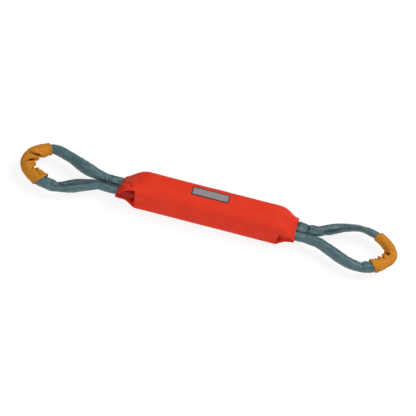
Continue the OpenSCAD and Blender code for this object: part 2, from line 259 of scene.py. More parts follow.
# ---- small tools
def linear(hex_colour):
    """Turns an sRGB hex colour into linear red, green, blue and alpha"""
    parts = [int(hex_colour[i:i + 2], 16) / 255 for i in (1, 3, 5)]
    return [c / 12.92 if c <= 0.04045 else ((c + 0.055) / 1.055) ** 2.4 for c in parts] + [1]


def mix(a, b, share):
    return a + (b - a) * share


def smooth(t):
    t = min(max(t, 0.0), 1.0)
    return t * t * (3 - 2 * t)


def hump(distance, width):
    """A soft bump that is 1 at no distance and fades over a few widths"""
    return math.exp(-(distance / width) ** 2)


def steps(start, end, count):
    return [mix(start, end, i / count) for i in range(count + 1)]


def beside(run, away):
    """How far along a straight run a place lies, from 0 to 1, and how far off it"""
    share = min(max(away.dot(run) / run.length_squared, 0), 1)
    return share, (away - run * share).length


def lumps(point, size, seed=0.0):
    """Smooth noise from -1 to 1 over a point in millimetres, with lumps of a given size"""
    return noise.noise(Vector(point) / size + Vector((seed, 0.7 * seed, 3.1)))


def nothing_selected():
    if bpy.context.object and bpy.context.object.mode != "OBJECT":
        bpy.ops.object.mode_set(mode="OBJECT")
    bpy.ops.object.select_all(action="DESELECT")


def take(piece):
    """Makes a piece the only one selected, and the active one"""
    nothing_selected()
    piece.select_set(True)
    bpy.context.view_layer.objects.active = piece


def apply_modifier(piece, kind, **settings):
    take(piece)
    modifier = piece.modifiers.new(kind.title(), kind)
    for name, value in settings.items():
        setattr(modifier, name, value)
    bpy.ops.object.modifier_apply(modifier=modifier.name)


def cloth(name, across, along, place, closed=False, capped=False, held=None, shade=None):
    """Cuts a flat cloth and lays it in shape.

    across and along are the places of its threads in millimetres over the flat cloth, and
    place(a, s) says where the crossing of two threads goes, in millimetres. Its UV map is
    the flat cloth in metres. closed sews its two long edges together, and capped then
    closes the two ends of that tube. held(a, s) is how firmly the cloth is held where it
    settles, and shade(a, s) how much painted shade the cloth gets where shade falls on it,
    as deep in a fold or a gap, both from 0 to 1."""
    nothing_selected()
    columns, rows = len(across) - 1, len(along) - 1
    bpy.ops.mesh.primitive_grid_add(x_subdivisions=columns, y_subdivisions=rows, size=1)
    piece = bpy.context.object
    piece.name = name
    mesh = piece.data
    mesh.name = name
    crossing = [(round((v.co.x + 0.5) * columns), round((v.co.y + 0.5) * rows))
                for v in mesh.vertices]
    for vertex, (i, j) in zip(mesh.vertices, crossing):
        vertex.co = Vector(place(across[i], along[j])) * MM
    for loop, corner in zip(mesh.loops, mesh.uv_layers.active.data):
        i, j = crossing[loop.vertex_index]
        corner.uv = (across[i] * MM, along[j] * MM)
    if held:
        group = piece.vertex_groups.new(name="held")
        for vertex, (i, j) in zip(mesh.vertices, crossing):
            group.add([vertex.index], held(across[i], along[j]), "REPLACE")
    # painted shade: the shade attribute tells the material how much darker to paint each point
    if shade:
        layer = mesh.attributes.new("shade", "FLOAT", "POINT")
        for value, (i, j) in zip(layer.data, crossing):
            value.value = min(max(shade(across[i], along[j]), 0), 1)
    bpy.ops.object.mode_set(mode="EDIT")
    bpy.ops.mesh.select_all(action="SELECT")
    if closed:
        bpy.ops.mesh.remove_doubles(threshold=1e-5)
    if capped:
        bpy.ops.mesh.fill_holes(sides=0)
    bpy.ops.mesh.normals_make_consistent(inside=False)
    bpy.ops.object.mode_set(mode="OBJECT")
    bpy.ops.object.shade_smooth()
    return piece


def settle(piece, limit):
    """Puffs a cloth up from inside where it isn't held, in a short cloth simulation, by no
    more than limit millimetres anywhere"""
    scene = bpy.context.scene
    before = [vertex.co.copy() for vertex in piece.data.vertices]
    take(piece)
    modifier = piece.modifiers.new("Settling", "CLOTH")
    modifier.settings.vertex_group_mass = "held"
    modifier.settings.use_pressure = True
    modifier.settings.uniform_pressure_force = 60
    modifier.settings.effector_weights.gravity = 0
    modifier.collision_settings.use_collision = False
    modifier.point_cache.frame_end = SETTLING
    for frame in range(1, SETTLING + 1):
        scene.frame_set(frame)
    bpy.ops.object.modifier_apply(modifier=modifier.name)
    scene.frame_set(1)
    for vertex, start in zip(piece.data.vertices, before):
        moved = vertex.co - start
        if moved.length > limit * MM:
            vertex.co = start + moved.normalized() * limit * MM


def finish_piece(piece, material, replaced):
    """Gives a piece its material and its slot, and hides the CAD node that it stands for"""
    piece.data.materials.clear()
    piece.data.materials.append(material)
    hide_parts(replaced)


# ---- materials
def add_node(tree, kind, inputs=None, **settings):
    """Adds a node, sets it up, and fills its inputs with values or other nodes' outputs. A
    node given as an input stands for its first output"""
    node = tree.nodes.new(kind)
    for name, value in settings.items():
        setattr(node, name, value)
    for key, value in (inputs or {}).items():
        if isinstance(value, bpy.types.Node):
            value = value.outputs[0]
        if isinstance(value, bpy.types.NodeSocket):
            tree.links.new(value, node.inputs[key])
        else:
            node.inputs[key].default_value = value
    return node


def new_material(name):
    material = bpy.data.materials.get(name) or bpy.data.materials.new(name)
    material.use_nodes = True
    material.node_tree.nodes.clear()
    return material, material.node_tree


def waves(tree, position, pitch):
    """A sine from -1 to 1 that repeats every pitch millimetres along one coordinate"""
    turn = add_node(tree, "ShaderNodeMath", {0: position, 1: 2 * math.pi / (pitch * MM)},
                    operation="MULTIPLY")
    return add_node(tree, "ShaderNodeMath", {0: turn}, operation="SINE")


def inside_border(tree, parts, border, width, length):
    """1 on a woven border along all four sides of a flat cloth, and 0 inside it"""
    sides = []
    for part, size in (("X", width), ("Y", length)):
        away = add_node(tree, "ShaderNodeMath", {0: parts.outputs[part], 1: size / 2 * MM},
                        operation="SUBTRACT")
        away = add_node(tree, "ShaderNodeMath", {0: away}, operation="ABSOLUTE")
        sides.append(add_node(tree, "ShaderNodeMath", {0: away, 1: (size / 2 - border) * MM},
                              operation="GREATER_THAN"))
    return add_node(tree, "ShaderNodeMath", dict(enumerate(sides)), operation="MAXIMUM")


def woven(name, light, dark, pitch, roughness, relief, ribs=0.0, sheen=0.0, specular=0.25,
          streak=(18.0, 18.0), streak_share=0.55, edge=None, folded=None):
    """A woven fabric on the piece's own UV map, which is in metres.

    light and dark are the crowns and the gaps of the threads, and pitch the width of one.
    ribs is how much stronger the ribs across the cloth are than the threads along it.
    streak is the size across and along of soft lighter and darker patches. edge gives the
    cloth a woven border: its colour, the border's width, and the cloth's width and length.
    folded is the colour of painted shade, mixed in as far as the shade attribute says that shade
    falls on the cloth"""
    material, tree = new_material(name)
    coordinates = add_node(tree, "ShaderNodeTexCoord")
    parts = add_node(tree, "ShaderNodeSeparateXYZ", {0: coordinates.outputs["UV"]})
    warp = waves(tree, parts.outputs["X"], pitch)
    weft = waves(tree, parts.outputs["Y"], pitch)
    if ribs:
        height = add_node(tree, "ShaderNodeMath", {0: warp, 1: 1 - ribs, 2: weft},
                          operation="MULTIPLY_ADD")
    else:
        height = add_node(tree, "ShaderNodeMath", {0: warp, 1: weft}, operation="MULTIPLY")
    thread = add_node(tree, "ShaderNodeMapRange",
                      {"Value": height, "From Min": -1.2, "From Max": 1.0})
    stretched = add_node(tree, "ShaderNodeMapping",
                         {"Vector": coordinates.outputs["UV"],
                          "Scale": (1 / (streak[0] * MM), 1 / (streak[1] * MM), 1)})
    patches = add_node(tree, "ShaderNodeTexNoise", {"Vector": stretched, "Scale": 1.0,
                                                    "Detail": 4.0, "Roughness": 0.6})
    even = add_node(tree, "ShaderNodeMath", {0: thread, 1: 1 - streak_share},
                    operation="MULTIPLY")
    share = add_node(tree, "ShaderNodeMath", {0: patches, 1: 2 * streak_share, 2: even},
                     operation="MULTIPLY_ADD")
    share = add_node(tree, "ShaderNodeMath", {0: share, 1: streak_share / 2},
                     operation="SUBTRACT", use_clamp=True)
    colour = add_node(tree, "ShaderNodeMix", {0: share, 6: dark, 7: light}, data_type="RGBA")
    if edge:
        edge_colour, *sizes = edge
        colour = add_node(tree, "ShaderNodeMix",
                          {0: inside_border(tree, parts, *sizes), 6: colour.outputs[2],
                           7: edge_colour}, data_type="RGBA")
    # painted shade: darker towards the folded colour where the shade attribute is high
    if folded:
        depth = add_node(tree, "ShaderNodeAttribute", attribute_name="shade")
        colour = add_node(tree, "ShaderNodeMix",
                          {0: depth.outputs["Fac"], 6: colour.outputs[2], 7: folded},
                          data_type="RGBA")
    bump = add_node(tree, "ShaderNodeBump",
                    {"Height": thread, "Strength": relief, "Distance": 0.35 * MM})
    rumple = add_node(tree, "ShaderNodeBump", {"Height": patches, "Strength": 0.35,
                                               "Distance": 0.8 * MM, "Normal": bump})
    shader = add_node(tree, "ShaderNodeBsdfPrincipled",
                      {"Base Color": colour.outputs[2], "Roughness": roughness,
                       "Sheen Weight": sheen, "Sheen Roughness": 0.45,
                       "Specular IOR Level": specular, "Normal": rumple})
    add_node(tree, "ShaderNodeOutputMaterial", {"Surface": shader})
    return material


def coated_oxford(look):
    # Oxford nylon with a coated back: an even, faintly shiny red with a fine grid of threads.
    # The real threads are about 0.4 mm wide, and are drawn coarser so that they show
    # Painted shade: the folded colour darkens the hollows of the side tucks at the ends
    return woven("coated_oxford_nylon", look.cover_colour, linear("#d42a1a"), 1.3, 0.6, 0.35,
                 specular=0.16, streak=(20, 34), streak_share=0.4, folded=linear("#8c1512"))


def tubular_webbing(look):
    # Tubular nylon webbing: cross ribs whose crowns shine against dark gaps. The real ribs
    # are about 0.6 mm wide, and are drawn a little coarser so that they show
    # Painted shade: the folded colour darkens the webbing in its creases and gaps, and where the
    # mouths and tacks shade it
    return woven("tubular_nylon_webbing", look.webbing_colour, linear("#243b40"), 0.9, 0.4,
                 0.4, ribs=0.6, specular=0.6, streak=(3.2, 12), streak_share=0.75,
                 folded=linear("#182a2d"))


def textured_nylon(look):
    # Textured nylon: a dry, coarse amber weave, darker in its gaps. The real threads are
    # about 0.6 mm wide, and are drawn coarser so that they show
    # Painted shade: the folded colour darkens the grip deep in its folds
    return woven("textured_amber_nylon", look.grip_colour, linear("#b06e1c"), 1.7, 0.75, 0.8,
                 specular=0.15, streak=(7, 7), streak_share=0.5, folded=linear("#5a3410"))


def damask_label(look):
    # Woven damask: smooth grey satin inside a dark woven border, with nothing on it. Its
    # threads are drawn coarser than real ones, so that they show
    size = (LABEL_HIGH - LABEL_LOW) / MM
    return woven("damask_label_grey", look.label_colour, linear("#807e83"), 0.9, 0.5, 0.3,
                 ribs=0.6, specular=0.3, streak=(5, 5), streak_share=0.35,
                 edge=(linear("#3f3a3a"), LABEL_EDGE, size.y, size.x))


def sewing_thread(name, hex_colour):
    # Bonded nylon thread: a slight gloss, broken up by the twist of its strands
    material, tree = new_material(name)
    coordinates = add_node(tree, "ShaderNodeTexCoord")
    twist = add_node(tree, "ShaderNodeTexWave",
                     {"Vector": coordinates.outputs["Object"], "Scale": 1 / (1.1 * MM),
                      "Distortion": 0.5}, bands_direction="DIAGONAL")
    bump = add_node(tree, "ShaderNodeBump", {"Height": twist.outputs["Fac"], "Strength": 0.4,
                                             "Distance": 0.1 * MM})
    shader = add_node(tree, "ShaderNodeBsdfPrincipled",
                      {"Base Color": linear(hex_colour), "Roughness": 0.45, "Normal": bump})
    add_node(tree, "ShaderNodeOutputMaterial", {"Surface": shader})
    return material


def cellular(name, light, dark, grain, roughness):
    """A soft material on Object coordinates: foam cells or a lofty fibre, with a grain in
    millimetres"""
    material, tree = new_material(name)
    coordinates = add_node(tree, "ShaderNodeTexCoord")
    cells = add_node(tree, "ShaderNodeTexVoronoi",
                     {"Vector": coordinates.outputs["Object"], "Scale": 1 / (grain * MM)})
    colour = add_node(tree, "ShaderNodeMix", {0: cells, 6: linear(light), 7: linear(dark)},
                      data_type="RGBA")
    bump = add_node(tree, "ShaderNodeBump",
                    {"Height": cells, "Strength": 0.5, "Distance": 0.4 * MM})
    shader = add_node(tree, "ShaderNodeBsdfPrincipled",
                      {"Base Color": colour.outputs[2], "Roughness": roughness,
                       "Normal": bump})
    add_node(tree, "ShaderNodeOutputMaterial", {"Surface": shader})
    return material


def closed_cell_foam():
    # Closed-cell foam, cut: chalky off-white, dull, with fine open cells on the cut face
    return cellular("closed_cell_foam", "#e9e6de", "#d5d0c4", 1.2, 0.8)


def filler_fibre():
    # Lofty polyester fibre: creamy white and quite dull, with soft shallow tufts
    return cellular("polyester_filler", "#e3dfd3", "#c9c3b3", 2.4, 0.9)


# ---- cover
def block_point(panel, e):
    """A point of the block's outline: e millimetres along a panel from its middle"""
    tangent, normal = PANELS[panel]
    angle = max(abs(e) - FLAT, 0) / CORNER
    along = math.copysign(min(abs(e), FLAT) + CORNER * math.sin(angle), e)
    out = FLAT + CORNER * math.cos(angle)
    return (tangent[0] * along + normal[0] * out, tangent[1] * along + normal[1] * out)


def panel_at(arc):
    """The cover's panel at a place across the flat cloth, and where on it, from -1 to 1"""
    turned = arc / PANEL + 0.5
    return math.floor(turned) % 4, 2 * (turned % 1 - 0.5)


def lip_height(y, ridge_y):
    """How high a lip lies over the webbing's middle, falling to a fold at the ridge"""
    fabric, dip = 1.2, 1.0
    over_tubes = NECK_RADIUS + fabric - dip * hump(y, 4.0)
    reach = NECK_OFFSET + NECK_RADIUS * 0.45
    fall = smooth((abs(y) - reach) / max(abs(ridge_y) - reach, 1.0))
    return mix(over_tubes, LIP_FOLD, fall)


def mouth_point(end, panel, p):
    """A point of the mouth's outline: p from -1 to 1 along a panel"""
    rear, front = end["mouth_y"]
    rear_z, front_z = end["mouth_z"]
    if panel in (TOP, BOTTOM):
        share = (p + 1) / 2 if panel == TOP else (1 - p) / 2
        y = mix(rear, front, share)
        lip = lip_height(y, rear if y > 0 else front)
        return (y, mix(rear_z, front_z, share) + (lip if panel == TOP else -lip))
    # between the lips the side is folded in
    deepest, until = 6.5, 0.8
    ridge, middle = (rear, rear_z) if panel == REAR else (front, front_z)
    inward = deepest * max(until - abs(p), 0) / until
    return (ridge - math.copysign(inward, ridge),
            middle + LIP_FOLD * p * (1 if panel == REAR else -1))


def end_share(x, end):
    """How far x is into a folded end, 0 in the block and 1 at the mouth, eased at the
    shoulder, where the fabric rounds the foam's edge, and again at the mouth"""
    start = FOAM_HALF - end["early"]
    f = min(max((abs(x) - start) / (MOUTH_X - start), 0), 1)
    ease_in, ease_out = end["ease"]
    return 1 - (1 - f ** ease_in) ** ease_out


def flap_crease(end, x, y):
    """Height of the creases on an end's top flap, in millimetres"""
    total = 0.0
    for x1, y1, x2, y2, width, height in end["creases"]:
        _, off = beside(Vector((x2 - x1, y2 - y1)), Vector((abs(x) - x1, y - y1)))
        total += height * hump(off, width)
    return total


def tuck_depth(end, panel, p, f):
    """How deep the rear or the front is tucked in at an end, in millimetres"""
    down = -p if panel == REAR else p
    high, low = end["tuck_span"]
    start = mix(*end["tuck_start"], (down + 1) / 2)
    open_up = min(max(f - start, 0) / end["tuck_rate"], 1) ** 0.8 * (1 - f) ** 0.4
    inside = min(down - high, low - down)
    return end["tuck"] * open_up * smooth(inside / (0.2 + 0.45 * f))


def folded_in(end, panel, p, x, y, z):
    """Where a point of the block's outline goes in a folded end: its new y and z"""
    f = max(abs(x) - FOAM_HALF, 0) / END_LENGTH
    g = end_share(x, end)
    # down to the mouth, at its own pace for each of the ridges between the panels
    stiff = f ** end["ridge"]
    rising = 1 - (1 - max(f - 0.12, 0) / 0.88) ** end["pull"]
    pulled = {REAR: g, TOP: mix(g, stiff, smooth((1 + p) / 2)),
              FRONT: mix(stiff, rising, smooth((1 + p) / 2)),
              BOTTOM: mix(rising, g, smooth((1 + p) / 2))}[panel]
    mouth_y, mouth_z = mouth_point(end, panel, p)
    y = mix(y, mouth_y, g)
    z = mix(z, mouth_z, pulled)
    # the rear corner turns out at the mouth, and the lower front ridge is drawn in
    turned_out = smooth((f - 0.82) / 0.18) - hump(f - 0.7, 0.16)
    y += smooth((y - 12) / 10) * end["ear"] * turned_out
    drawn = end["drawn"] * math.sin(math.pi * min(f * 1.1, 1)) ** 0.7
    y += drawn * smooth(-(z + DROP * f) / 9) * smooth((-y - 8) / 12)
    # the sides are tucked in, as far as the webbing between them lets them
    if panel in (REAR, FRONT):
        webbing = mix(3.2, NECK_RADIUS + 0.8, smooth(2 * f))
        past_webbing = smooth((abs(z + DROP * f) - webbing) / 4)
        clear = mix(TUCK_LIMIT, 8, past_webbing)
        tucked = abs(y) - tuck_depth(end, panel, p, f)
        y = math.copysign(max(tucked, min(abs(y), clear)), y)
    if panel == TOP:
        z += flap_crease(end, x, y) * smooth(3 * f) * smooth(3.5 - 3.5 * abs(p))
    return y, z


def cover_place(arc, x):
    """Where a point of the flat cover goes: arc is across it from the seam, x along it"""
    look = bpy.context.scene.bumper_look
    panel, p = panel_at(arc)
    side = -1 if x < 0 else 1
    end = ENDS[side]
    g = end_share(x, end)
    y, z = block_point(panel, p * PANEL / 2)
    out_y, out_z = PANELS[panel][1]
    crown = look.crown / MM * (1 - p * p) * (1 - g) * (panel != BOTTOM)
    y += out_y * crown
    z += out_z * crown
    if g > 0:
        y, z = folded_in(end, panel, p, x, y, z)
    # the mouth's edge runs aslant and a little ragged, and the whole cloth is uneven
    share = (end["mouth_y"][0] - y) / (end["mouth_y"][0] - end["mouth_y"][1])
    stretch = (mix(*end["mouth_x"], share) - FOAM_HALF) / END_LENGTH
    beyond = max(abs(x) - FOAM_HALF, 0)
    f = beyond / END_LENGTH
    x = side * (abs(x) - beyond + beyond * stretch)
    ragged = 0.5 * lumps((arc, 0, 0), 5.0, side) * f ** 3
    wobble = 0.35 * lumps((x, y, z), 26.0) + 0.25 * f * lumps((x, y, z), 9.0, 4.0)
    z = max(z + out_z * wobble + BODY_HALF, look.fabric / MM * 0.2)
    return Vector((x + side * ragged, y + out_y * wobble, z))


def facing(place, a, s, centre):
    """A point of a surface, the ways across and along it, and its normal, off its centre"""
    point = Vector(place(a, s))
    along = (Vector(place(a, s + 0.2)) - point).normalized()
    across = (Vector(place(a + 0.2, s)) - point).normalized()
    normal = across.cross(along).normalized()
    if normal.dot(point - Vector(centre)) < 0:
        normal.negate()
    return point, across, along, normal


def make_cover(material, look):
    """The sewn cover, whose threads lie closest where its ends start to fold in"""
    across = steps(0, 4 * PANEL, 88)
    into_end = [END_LENGTH * share ** 1.35 for share in steps(0, 1, 26)][1:]
    along = ([-FOAM_HALF - s for s in reversed(into_end)] + steps(-FOAM_HALF, FOAM_HALF, 72)
             + [FOAM_HALF + s for s in into_end])

    def held(arc, x):
        panel, _ = panel_at(arc)
        seam = min(arc, 4 * PANEL - arc)
        end = smooth((abs(x) - FOAM_HALF - 0.55 * END_LENGTH) / (0.3 * END_LENGTH))
        tucked = panel in (REAR, FRONT) and abs(x) > FOAM_HALF - 2
        return 1.0 if panel == BOTTOM or seam < 9 or tucked else end

    # painted shade in the hollows of the rear and front side tucks, as deep as they are tucked
    def shade(arc, x):
        panel, p = panel_at(arc)
        end = ENDS[-1 if x < 0 else 1]
        f = max(abs(x) - FOAM_HALF, 0) / END_LENGTH
        if panel in (TOP, BOTTOM):
            return 0.0
        return end["dark"] * smooth((tuck_depth(end, panel, p, f) - 2) / 7)
    piece = cloth("sewn_cover", across, along, cover_place, closed=True, held=held,
                  shade=shade)
    settle(piece, limit=0.9)
    apply_modifier(piece, "SOLIDIFY", thickness=look.fabric, offset=-1)
    apply_modifier(piece, "SUBSURF", levels=1, render_levels=1)
    finish_piece(piece, material, "cover")
    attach(piece, "bumper")


def make_foam(half, material):
    """One of the two slabs, rounded at its ends, with room for the flat webbing under it"""
    sign = 1 if half == "upper" else -1
    half_width = BODY_HALF - 1.8         # the cover and the slack in it lie round the foam
    glue, webbing = 0.1, 2.4             # from the middle plane to the foam, and to its groove

    def place(a, x):
        rounded = ENDS[-1 if x < 0 else 1]["early"] + 6
        over = max(abs(x) - FOAM_HALF + rounded, 0) / rounded
        shrink = 1 - 0.16 * over ** 2.2
        if a <= 2 * PANEL:
            panel = (REAR, TOP, FRONT)[min(int(a / PANEL + 0.5), 2)]
            y, z = block_point(panel, a - panel * PANEL)
            inset = half_width / BODY_HALF * shrink
            return (x, y * inset, BODY_HALF + sign * max(z * inset, glue))
        y = mix(-1, 1, (a - 2 * PANEL) / PANEL) * half_width * shrink
        room = webbing if abs(y) < 2 * NECK_OFFSET - 0.6 else glue
        return (x, y, BODY_HALF + sign * room)
    around = steps(0, 2 * PANEL, 40) + steps(2 * PANEL, 3 * PANEL, 30)[1:]
    piece = cloth("foam_slab_" + half, around, steps(-FOAM_HALF, FOAM_HALF, 60), place,
                  closed=True, capped=True)
    finish_piece(piece, material, "foam_" + half)
    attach(piece, "bumper")


def make_strap(name, side, material):
    """Webbing that lies flat inside the foam and opens into a tube towards each mouth"""
    flat = {"half_width": 7.8, "half_height": 2.0, "power": 0.5, "offset": NECK_OFFSET}
    tube = {"half_width": 7.4, "half_height": 5.6, "power": 1.0, "offset": 8.2}

    def place(a, x):
        opened = smooth((abs(x) - FOAM_HALF - 1) / (STRAP_END - FOAM_HALF - 1))
        form = {key: mix(flat[key], tube[key], opened) for key in flat}
        across, up = math.cos(a), math.sin(a)
        across = math.copysign(abs(across) ** form["power"], across)
        up = math.copysign(abs(up) ** form["power"], up)
        return (x, side * form["offset"] + form["half_width"] * across,
                neck_height(x) + form["half_height"] * up)
    piece = cloth("flat_webbing_" + name, steps(0, 2 * math.pi, 24),
                  steps(-STRAP_END, STRAP_END, 90), place, closed=True, capped=True)
    finish_piece(piece, material, "strap_" + name)
    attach(piece, "bumper")


# ---- loops
def spline(points, u):
    """Catmull-Rom spline through points, at any place u along their list"""
    last = len(points) - 1
    i = min(int(u), last - 1)
    f = u - i
    around = (points[max(i - 1, 0)], points[i], points[i + 1], points[min(i + 2, last)])
    return [0.5 * (2 * b + (c - a) * f + (2 * a - 5 * b + 4 * c - d) * f * f
                   + (3 * b - a - 3 * c + d) * f ** 3) for a, b, c, d in zip(*around)]


def neck_height(x):
    """Height of the webbing's middle where it runs down from the foam to the mouth"""
    return BODY_HALF - DROP * min(max(abs(x) - FOAM_HALF, 0) / END_LENGTH, 1)


class Route:
    """A loop's centreline, measured in millimetres along it"""
    finer = 16                           # places between two of the route's points
    ahead = 0.08                         # how far ahead the heading looks, in route points
    reach = 3.0                          # how far to each side a bend is taken

    def __init__(self, loop):
        self.side = loop["side"]
        self.sag = loop["sag"]
        self.meet = loop["meet"]
        self.points = loop["route"]
        self.last = len(self.points) - 1
        self.us = steps(0, self.last, self.last * self.finer)
        self.lengths = [0.0]
        for a, b in zip(self.us, self.us[1:]):
            gap = Vector(self.flat(b)[:2]) - Vector(self.flat(a)[:2])
            self.lengths.append(self.lengths[-1] + gap.length)
        self.length = self.lengths[-1]

    def flat(self, u):
        """x, y, radius, flatness and turn of the tube at a place in the list of points"""
        x, *rest = spline(self.points, u)
        return (self.side * x, *rest)

    def length_at(self, u):
        return self.lengths[round(u * self.finer)]

    def u_at(self, s):
        """The place in the list of points that lies s millimetres along"""
        s = min(max(s, 0.0), self.length)
        low, high = 0, len(self.lengths) - 1
        while high - low > 1:
            middle = (low + high) // 2
            low, high = (middle, high) if self.lengths[middle] <= s else (low, middle)
        share = (s - self.lengths[low]) / (self.lengths[high] - self.lengths[low])
        return mix(self.us[low], self.us[high], share)

    @functools.lru_cache(maxsize=2000)
    def at(self, s):
        """Centre, the tube's own directions across and up, and its half width and height"""
        u = self.u_at(s)
        x, y, radius, squash, roll = self.flat(u)
        heading = self.heading(u)
        z = neck_height(x) - self.sag * (max(abs(x) - FOLD_X, 0) / SAG_REACH) ** 2
        level = Vector((-heading.y, heading.x, 0))
        roll = math.radians(roll)
        wide = level * math.cos(roll) + Vector((0, 0, math.sin(roll)))
        tall = Vector((0, 0, math.cos(roll))) - level * math.sin(roll)
        return Vector((x, y, z)), wide, tall, radius * squash ** 0.5, radius / squash ** 0.5

    def heading(self, u):
        """The level direction in which the route runs on"""
        if self.last - u < 0.01 or u < 0.01:
            return Vector((self.side * (1 if u < 1 else -1), 0, 0))
        before = self.flat(max(u - self.ahead, 0))
        after = self.flat(min(u + self.ahead, self.last))
        return Vector((after[0] - before[0], after[1] - before[1], 0)).normalized()

    @functools.lru_cache(maxsize=2000)
    def bend(self, s):
        """How sharply the route turns at s, in radians for each millimetre"""
        a, b = (self.heading(self.u_at(s + off)) for off in (-self.reach, self.reach))
        return abs(math.atan2(a.x * b.y - a.y * b.x, a.dot(b))) / (2 * self.reach)

    def from_inside(self, turn):
        """Angle in degrees from the loop's inside, over the top, for a turn round the tube"""
        turn = math.degrees(turn)
        return ((turn if self.side < 0 else 180 - turn) + 180) % 360 - 180


def tube_place(route, grow, relief):
    """Lays a flat cloth round a route: a is across the cloth from the tube's underside.

    grow(s) is how far outside the stuffed tube it lies, and relief(s, turn) what its
    creases and lumps add to that"""
    def place(a, s):
        turn = turn_at(a)
        centre, wide, tall, half_width, half_height = route.at(s)
        out = grow(s) + relief(s, turn)
        point = (centre + wide * (half_width + out) * math.cos(turn)
                 + tall * (half_height + out) * math.sin(turn))
        if abs(centre.x) < PRESSED:
            # neither tube of the neck passes the plane in which they press on each other
            gap = 0.35 - min(grow(s), 0)
            away = (point.y - route.meet) * math.copysign(1, centre.y)
            point.y += (max(away, gap) - away) * math.copysign(1, centre.y)
        return point
    return place


def turn_at(a):
    """The turn round a tube at a place across its flat cloth, from level at its rear"""
    return 2 * math.pi * a / GIRTH - math.pi / 2


def crease_relief(route, creases, s, angle, unit=1.0):
    """Height at a place on a tube from its list of creases, in millimetres. A crease is
    sharp in its middle, with a soft lip along each side"""
    radius, lip, lip_away = 9.5, 0.3, 2.1
    # in a bend the loop's inside is shorter than its middle, and its outside longer
    inner = max(1 - radius * route.bend(s) * math.cos(math.radians(angle)), 0.35)
    total = 0.0
    for width, *points in creases:
        nearest = 4 * width
        height = 0.0
        for (s1, angle1, height1), (s2, angle2, height2) in zip(points, points[1:]):
            share, off = beside(
                Vector(((s2 - s1) * unit * inner, (angle2 - angle1) * ARC)),
                Vector(((s - s1 * unit) * inner, (angle - angle1) * ARC)))
            if off < nearest:
                nearest = off
                height = mix(height1, height2, share)
        lips = lip * hump(nearest - lip_away * width, width)
        total += height * (math.exp(-(nearest / width) ** 1.3) - lips)
    return total


def webbing_relief(route, loop):
    """The webbing's own form over its stuffed tube, and what the grip and the tack do to it"""
    _, _, grip_start, grip_end, folds = grip_place(loop)
    # where along the route its rear and its front tube pass under the bar tack
    tacked = [s for s in steps(0, route.length, 800) if abs(abs(route.at(s)[0].x) - TACK_X) < 1]
    rear = [s for s in tacked if s < route.length / 2]
    front = [s for s in tacked if s > route.length / 2]
    rear, front = sum(rear) / len(rear), sum(front) / len(front)
    pucker_height, pucker_pitch = 5.0, 6.3       # on the inside of a bend

    def relief(s, turn):
        inner = max(math.cos(math.radians(route.from_inside(turn))), 0) ** 2
        pucker = (pucker_height * route.bend(s) * inner
                  * math.sin(2 * math.pi * s / pucker_pitch))
        covered = smooth(min(s - grip_start, grip_end - s) / 6 - 1)
        dent = (min(folds(s, turn), 0) - 1.2) * covered
        # the thread cuts deeper into the rear tube than into the front one
        pinch = hump(s - rear, TACK_LENGTH * 0.75) + 0.4 * hump(s - front, TACK_LENGTH * 0.75)
        centre = route.at(s)[0]
        around = (centre.x, centre.y + TUBE_RADIUS * math.cos(turn),
                  TUBE_RADIUS * math.sin(turn))
        loose = 0.6 * lumps(around, 15.0, 2.0) + 0.4 * lumps(around, 5.0, 7.0)
        creased = crease_relief(route, loop["creases"], s, route.from_inside(turn))
        return pucker + loose - loop["pinch"] * pinch + dent + creased
    return relief


def make_webbing(name, loop, material):
    """The stuffed tube, which follows its loop past the fold and the block before it"""
    route = Route(loop)
    place = tube_place(route, lambda s: 0.0, webbing_relief(route, loop))

    # painted shade: darker in the deepest creases, and wherever the loop's shades lay it
    def shade(a, s):
        angle = route.from_inside(turn_at(a))
        deep = smooth(-0.3 * crease_relief(route, loop["creases"], s, angle) - 0.2)
        return max(deep, crease_relief(route, loop["shades"], s, angle))
    piece = cloth(name + "_stuffed_webbing", steps(0, GIRTH, 36),
                  steps(0, route.length, round(route.length / 1.5)), place, closed=True,
                  shade=shade)
    apply_modifier(piece, "SUBSURF", levels=1, render_levels=1)
    finish_piece(piece, material, name + "_webbing")
    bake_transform(piece)


def make_filler(name, loop, material):
    """The soft core that keeps the webbing round, which ends before the fold line"""
    under, clear = 2.2, 10.0             # how far inside the webbing, and beyond the fold
    route = Route(loop)
    relief = webbing_relief(route, loop)
    place = tube_place(route, lambda s: -under, lambda s, turn: min(relief(s, turn), 0))
    start = next(s for s in steps(0, route.length, 400)
                 if abs(route.at(s)[0].x) > FOLD_X + clear)
    piece = cloth(name + "_filler_core", steps(0, GIRTH, 16),
                  steps(start, route.length - start, 90), place, closed=True, capped=True)
    finish_piece(piece, material, name + "_filler")
    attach(piece, name + "_loop")


